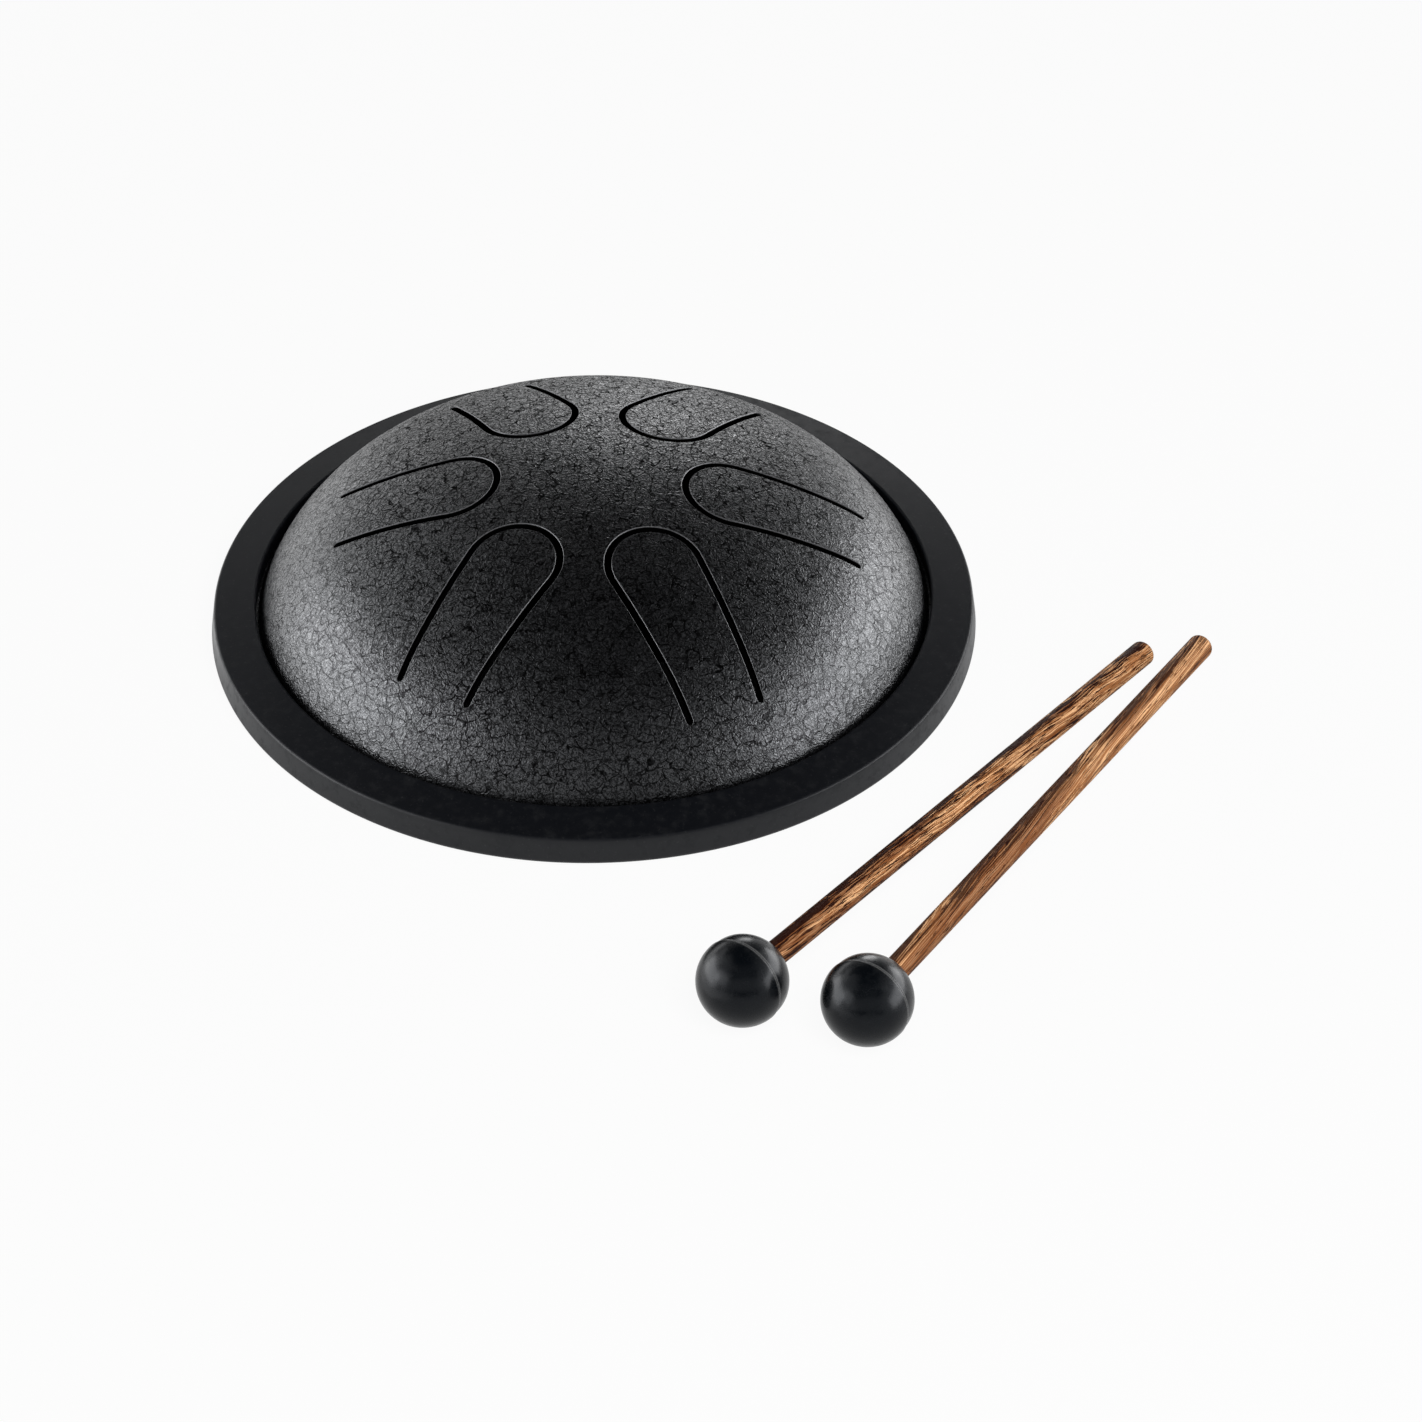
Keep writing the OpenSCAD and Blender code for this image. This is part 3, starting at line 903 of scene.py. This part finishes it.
class TONGUE_DRUM_OT_base_plate(bpy.types.Operator):
    """Build the plate that closes the drum from below, with its sound hole"""

    bl_idname = "tongue_drum.base_plate"
    bl_label = "Base plate"

    def execute(self, context):
        sizes = context.scene.drum_ring
        low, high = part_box("base_plate")
        hole, edge = sizes.sound_hole_r, high.x
        corners = [(hole, low.z), (edge, low.z), (edge, high.z), (hole, high.z)]
        section = rounded(corners, [sizes.plate_round] * len(corners), 4)
        paint = plate_paint(context.scene.drum_finishes)
        plate = turned("closing_plate", paint, section, context.scene.drum_dome.mesh_sides)
        dress(plate, "base_steel", "base_plate")
        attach(plate, "drum")
        return {"FINISHED"}


class TONGUE_DRUM_OT_edge_ring(bpy.types.Operator):
    """Build the moulded rubber ring round the flange"""

    bl_idname = "tongue_drum.edge_ring"
    bl_label = "Edge ring"

    def execute(self, context):
        sizes = context.scene.drum_ring
        dome = context.scene.drum_dome
        finish = context.scene.drum_finishes
        sheet = Sheet(dome)
        bore = sheet.bend_x + sizes.bore_gap
        groove = sheet.flange_r + sizes.groove_gap
        foot = sheet.flange_r + sizes.ring_wall
        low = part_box("base_plate")[0].z
        high = sheet.flange_z + dome.sheet_t
        corners = [(bore, 0), (foot, 0), (foot - sizes.ring_lean, sizes.ring_edge_h),
                   (bore, sizes.ring_crest_h), (bore, high), (groove, high), (groove, low), (bore, low)]
        lip = sizes.lip_round
        radii = [sizes.crest_round, sizes.foot_round, sizes.edge_round, sizes.crest_round, lip, lip, lip, lip]
        rubber = moulded_rubber("ring_rubber", finish.ring, finish.cool_gloss, specular=0.08, roughness=0.52,
                                scuff=0.012, rubbed_r=foot - sizes.ring_lean)
        ring = turned("rubber_ring", rubber, rounded(corners, radii), dome.mesh_sides)
        dress(ring, "ring_rubber", "edge_ring")
        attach(ring, "drum")
        return {"FINISHED"}


def mallet_place(sizes, mallet):
    """The frame of a mallet: its middle is the ball's, and its Z axis runs along the stick to the tip."""
    low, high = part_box(f"mallet_{mallet}_head")
    ball_r = high.z / 2
    rest = sizes.stick_reach - sizes.tip_round
    tilt = math.asin(ball_r / math.hypot(rest, sizes.stick_r)) - math.atan2(sizes.stick_r, rest)
    turn = {"a": sizes.turn_a, "b": sizes.turn_b}[mallet]
    middle = Vector(((low.x + high.x) / 2, (low.y + high.y) / 2, ball_r))
    along_x = Matrix.Translation(middle) @ Euler((0, tilt, turn)).to_matrix().to_4x4()
    return along_x @ Matrix.Rotation(math.pi / 2, 4, "Y"), along_x


def ball_section(sizes, ball_r):
    """Section of a ball: its full half, the parting groove, its lower half and the bore for the stick."""
    half_seam = sizes.seam_w / 2
    lip_r = sizes.seam_lip
    lip = math.asin((half_seam + lip_r) / ball_r)
    floor_r = ball_r - sizes.seam_depth
    bore = sizes.stick_r + sizes.glue_gap
    mouth = math.asin((bore + sizes.mouth_round) / ball_r)
    full_steps, lower_steps, mouth_steps = 40, 36, 5
    full = arc((0, 0), ball_r, -math.pi / 2, -lip, full_steps)
    lower = []
    for i in range(lower_steps + 1):
        a = lip + (math.pi / 2 - mouth - lip) * i / lower_steps
        r = ball_r - sizes.seam_step * math.exp(-((ball_r * (a - lip) / sizes.seam_run) ** 2))
        lower.append(((r * math.cos(a), r * math.sin(a)), (math.cos(a), math.sin(a))))
    full_lip = arc((full[-1][0][0] - lip_r, full[-1][0][1]), lip_r, 0, math.pi / 2, 5)
    lower_lip = arc((lower[0][0][0] - lip_r, lower[0][0][1]), lip_r, -math.pi / 2, 0, 5)
    rim = lower[-1][0]
    start = math.pi / 2 - mouth
    inner_end = (rim[0] - sizes.mouth_round, rim[1] - sizes.mouth_round)
    lip_arc = []
    for i in range(mouth_steps + 1):
        a = start + (math.pi - start) * i / mouth_steps
        t = i / mouth_steps
        x = rim[0] + (inner_end[0] - rim[0]) * math.sin(t * math.pi / 2)
        y = rim[1] + (inner_end[1] - rim[1]) * (1 - math.cos(t * math.pi / 2))
        lip_arc.append(((x, y), (math.cos(a), math.sin(a))))
    top, bottom = full_lip[-1][0], lower_lip[0][0]
    groove = [top, (floor_r, top[1]), (floor_r, bottom[1]), bottom]
    seat = [inner_end, (bore, -sizes.stick_seat), (0, -sizes.stick_seat)]
    return [full, full_lip, *(line(p, q) for p, q in zip(groove, groove[1:])), lower_lip, lower, lip_arc,
            *(line(p, q) for p, q in zip(seat, seat[1:]))]


class TONGUE_DRUM_OT_mallet_balls(bpy.types.Operator):
    """Build the moulded rubber ball of each mallet"""

    bl_idname = "tongue_drum.mallet_balls"
    bl_label = "Mallet balls"

    def execute(self, context):
        sizes = context.scene.drum_mallets
        finish = context.scene.drum_finishes
        rubber = moulded_rubber("ball_rubber", finish.ball, finish.cool_gloss, specular=0.18, roughness=0.22,
                                scuff=0.004)
        for mallet in MALLETS:
            along_z, _ = mallet_place(sizes, mallet)
            section = ball_section(sizes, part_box(f"mallet_{mallet}_head")[1].z / 2)
            ball = turned(f"rubber_ball_{mallet}", rubber, section, BALL_SIDES, along_z, SEAM_LIPS)
            dress(ball, "ball_rubber", f"mallet_{mallet}_head")
            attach(ball, f"mallet_{mallet}")
        return {"FINISHED"}


def stick_section(sizes):
    """Section of a stick, from the end in the ball to the rounded and slightly domed tip."""
    r, tip = sizes.stick_r, sizes.tip_round
    face_r = r - tip
    shoulder = sizes.stick_reach - tip - sizes.tip_crown
    lean = math.atan2(2 * sizes.tip_crown, face_r)
    crown_r = face_r / math.sin(lean) + tip
    top = sizes.stick_reach - crown_r
    seat = -sizes.stick_seat
    rounding = arc((face_r, shoulder), tip, 0, math.pi / 2 - lean, 8)
    face = arc((0, top), crown_r, math.pi / 2 - lean, math.pi / 2, 6)
    face[0] = rounding[-1]
    return [line((0, seat), (r, seat)), line((r, seat), (r, shoulder), 40), rounding, face]


class TONGUE_DRUM_OT_mallet_sticks(bpy.types.Operator):
    """Build the round wooden stick of each mallet"""

    bl_idname = "tongue_drum.mallet_sticks"
    bl_label = "Mallet sticks"

    def execute(self, context):
        sizes = context.scene.drum_mallets
        for mallet, flecked, slant in zip(MALLETS, (1.0, 0.0), (math.radians(-2), math.radians(3.5))):
            along_z, along_x = mallet_place(sizes, mallet)
            wood = streaked_wood(f"stick_{mallet}_wood", context.scene.drum_finishes, along_x, flecked, slant)
            stick = turned(f"wooden_stick_{mallet}", wood, stick_section(sizes), STICK_SIDES, along_z)
            dress(stick, f"stick_{mallet}_wood", f"mallet_{mallet}_stick")
            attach(stick, f"mallet_{mallet}")
        return {"FINISHED"}


def rays_that_see_the_backdrop(s):
    """1 for the rays that show the backdrop itself: from the camera, in gloss and through glass."""
    rays = ("Is Camera Ray", "Is Glossy Ray", "Is Transmission Ray")
    camera, gloss, glass = (s.node("ShaderNodeLightPath", out=ray) for ray in rays)
    return s.step(camera + gloss + glass, 0.0, 1.0)


def make_world(studio):
    """A white backdrop that lights the object with plain ambient light."""
    world = bpy.data.worlds.new("studio_room")
    bpy.context.scene.world = world
    s = Shader(world)
    room = s.node("ShaderNodeBackground", sockets={"Color": WHITE, "Strength": studio.ambient})
    white = s.node("ShaderNodeBackground", sockets={"Color": WHITE, "Strength": 1})
    seen = rays_that_see_the_backdrop(s)
    mixed = s.node("ShaderNodeMixShader", sockets={0: seen, 1: room, 2: white})
    s.node("ShaderNodeOutputWorld", sockets={"Surface": mixed})


def make_floor(studio, drum_r):
    """A large pale floor. Under the drum it is darkened as painted shade, so that the slots are as dark as a
    closed drum's.
    """
    material, s = new_material("pale_floor")
    # 1 clear of the drum. Under the drum the floor takes the painted shade and shows no backdrop.
    clear = s.step(s.length(s.point()), 0.88 * drum_r, 0.95 * drum_r)
    tone = s.mix(clear, studio.shade_under_drum, studio.floor)
    plain = s.node("ShaderNodeBsdfDiffuse", sockets={"Color": tone})
    white = s.node("ShaderNodeEmission", sockets={"Color": WHITE, "Strength": 1})
    seen = rays_that_see_the_backdrop(s) * clear * studio.backdrop_share
    mixed = s.node("ShaderNodeMixShader", sockets={0: seen, 1: plain, 2: white})
    s.node("ShaderNodeOutputMaterial", sockets={"Surface": mixed})
    skin = Skin()
    reach = 8.0
    below = -0.02 * MM
    corners = [(-reach, -reach), (reach, -reach), (reach, reach), (-reach, reach)]
    skin.face([(x, y, below) for x, y in corners], [(0, 0, 1)] * 4)
    skin.make("studio_floor", material)


def make_card(name, corners, strength):
    """A plain card that only gloss shows: part of the studio's ceiling, a curtain or a reflector."""
    material, s = new_material(name)
    glow = s.node("ShaderNodeEmission", sockets={"Color": WHITE, "Strength": strength})
    s.node("ShaderNodeOutputMaterial", sockets={"Surface": glow})
    skin = Skin()
    a, b, c = (Vector(p) for p in corners[:3])
    skin.face(corners, [(b - a).cross(c - a).normalized()] * len(corners))
    card = skin.make(name, material)
    for rays in ("camera", "diffuse", "transmission", "shadow"):
        setattr(card, f"visible_{rays}", False)


def make_lamp(name, place, width, height, strength):
    """A large soft lamp that shines on the middle of the drum, hidden from the camera."""
    lamp = bpy.data.lights.new(name, "AREA")
    lamp.shape = "RECTANGLE"
    lamp.size, lamp.size_y = width, height
    lamp.energy = strength * math.pi * width * height
    made = bpy.data.objects.new(name, lamp)
    made.location = place
    made.rotation_euler = Vector(place).to_track_quat("Z", "Y").to_euler()
    made.visible_camera = False
    bpy.context.scene.collection.objects.link(made)
    return made


def make_camera(studio):
    """The camera where the photographer stood."""
    yaw, pitch, roll = studio.camera_yaw, studio.camera_pitch, studio.camera_roll
    ahead = Vector((-math.sin(yaw) * math.cos(pitch), math.cos(yaw) * math.cos(pitch), -math.sin(pitch)))
    right = Vector((math.cos(yaw), math.sin(yaw), 0))
    up = right.cross(ahead)
    across = math.cos(roll) * right + math.sin(roll) * up
    above = math.cos(roll) * up - math.sin(roll) * right
    camera = bpy.data.cameras.new("studio_camera")
    camera.sensor_fit = "HORIZONTAL"
    camera.sensor_width = 36.0
    camera.lens = studio.lens_share * camera.sensor_width
    camera.clip_start, camera.clip_end = 0.05, 50
    made = bpy.data.objects.new("studio_camera", camera)
    turn = Matrix((across, above, -ahead)).transposed()
    made.matrix_world = Matrix.Translation(studio.camera_place) @ turn.to_4x4()
    bpy.context.scene.collection.objects.link(made)
    bpy.context.scene.camera = made


class TONGUE_DRUM_OT_studio(bpy.types.Operator):
    """Set up the floor, the lamps, the white backdrop and the camera"""

    bl_idname = "tongue_drum.studio"
    bl_label = "Studio"

    def execute(self, context):
        studio = context.scene.drum_studio
        context.scene.view_settings.view_transform = "Standard"
        make_world(studio)
        make_floor(studio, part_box("edge_ring")[1].x)
        for name, left, right, front, back, high, strength in (
                ("dark_ceiling", -1.0, 1.0, -1.3, 1.15, 1.12, studio.ceiling),
                ("left_ceiling", -1.0, -0.42, -0.6, 0.35, 1.1, 0.9),
                ("right_ceiling", 0.55, 1.0, -0.6, 0.25, 1.1, 0.5),
                ("front_ceiling", -0.42, 0.55, -1.3, -0.35, 1.1, 0.22)):
            corners = [(left, front, high), (right, front, high), (right, back, high), (left, back, high)]
            make_card(name, corners, strength)
        for name, side, back, low, high, strength in (
                ("grey_curtain", 0.9, -1.3, 0.25, 1.1, studio.curtain),
                ("dark_curtain", 0.9, -1.3, 0.01, 0.25, studio.ceiling),
                ("back_curtain", 1.3, 1.15, 0.47, 1.12, studio.back_curtain)):
            corners = [(-side, back, low), (side, back, low), (side, back, high), (-side, back, high)]
            make_card(name, corners, strength)
        over_floor = 0.1 * MM
        left = [(-1.1, -0.6), (-0.15, -0.6), (0, -0.155), (-0.093, -0.05), (-0.093, 0.7), (-1.1, 0.7)]
        right = [(0.093, 0.01), (1.1, 0.01), (1.1, 0.7), (0.093, 0.7)]
        for name, corners in (("left_reflector", left), ("right_reflector", right)):
            make_card(name, [(x, y, over_floor) for x, y in corners], studio.reflector)
        key = make_lamp("key_lamp", (0.35, -1.0, 1.15), 0.9, 0.9, studio.key)
        key.visible_glossy = False
        for name, around, above, distance, width, height, strength in (
                ("left_softbox", 176, 15.5, 1.1, 1.2, 0.66, studio.softbox),
                ("right_softbox", 8, 13, 1.1, 1.95, 0.56, studio.softbox),
                ("left_panel", 214, 28, 1.1, 0.6, 0.50, studio.side_panel),
                ("far_left_panel", 128, 10, 1.1, 0.7, 0.5, 0.7 * studio.side_panel),
                ("high_left_panel", 146, 42, 1.1, 0.7, 0.25, 0.6 * studio.side_panel),
                ("back_panel", 84, 12, 1.7, 0.4, 0.70, studio.back_panel)):
            turn = Matrix.Rotation(math.radians(around), 3, "Z")
            lift = Matrix.Rotation(math.radians(-above), 3, "Y")
            lamp = make_lamp(name, turn @ lift @ Vector((distance, 0, 0)), width, height, strength)
            lamp.visible_diffuse = False
        make_camera(studio)
        return {"FINISHED"}


class TONGUE_DRUM_PT_sidebar(bpy.types.Panel):
    """The pieces of the drum and their sizes"""

    bl_idname = "TONGUE_DRUM_PT_sidebar"
    bl_label = "Steel tongue drum"
    bl_space_type = "VIEW_3D"
    bl_region_type = "UI"
    bl_category = "Tongue drum"

    def draw(self, context):
        for operator in OPERATORS:
            self.layout.operator(operator.bl_idname)
        for name, group in GROUPS.items():
            box = self.layout.box()
            box.label(text=group.__doc__)
            for key in group.__annotations__:
                box.prop(getattr(context.scene, name), key)


GROUPS = {
    "drum_dome": DomeSizes,
    "drum_ring": RingSizes,
    "drum_mallets": MalletSizes,
    "drum_finishes": Finishes,
    "drum_studio": Studio,
}
OPERATORS = (
    TONGUE_DRUM_OT_dome,
    TONGUE_DRUM_OT_base_plate,
    TONGUE_DRUM_OT_edge_ring,
    TONGUE_DRUM_OT_mallet_balls,
    TONGUE_DRUM_OT_mallet_sticks,
    TONGUE_DRUM_OT_studio,
)


def register():
    for group in GROUPS.values():
        bpy.utils.register_class(group)
    for name, group in GROUPS.items():
        setattr(bpy.types.Scene, name, PointerProperty(type=group))
    for operator in OPERATORS:
        bpy.utils.register_class(operator)
    bpy.utils.register_class(TONGUE_DRUM_PT_sidebar)


def unregister():
    bpy.utils.unregister_class(TONGUE_DRUM_PT_sidebar)
    for operator in reversed(OPERATORS):
        bpy.utils.unregister_class(operator)
    for name in GROUPS:
        delattr(bpy.types.Scene, name)
    for group in reversed(GROUPS.values()):
        bpy.utils.unregister_class(group)


def main():
    """Builds every piece and the studio."""
    register()
    bpy.ops.tongue_drum.dome()
    bpy.ops.tongue_drum.base_plate()
    bpy.ops.tongue_drum.edge_ring()
    bpy.ops.tongue_drum.mallet_balls()
    bpy.ops.tongue_drum.mallet_sticks()
    bpy.ops.tongue_drum.studio()


if __name__ == "__main__":
    main()
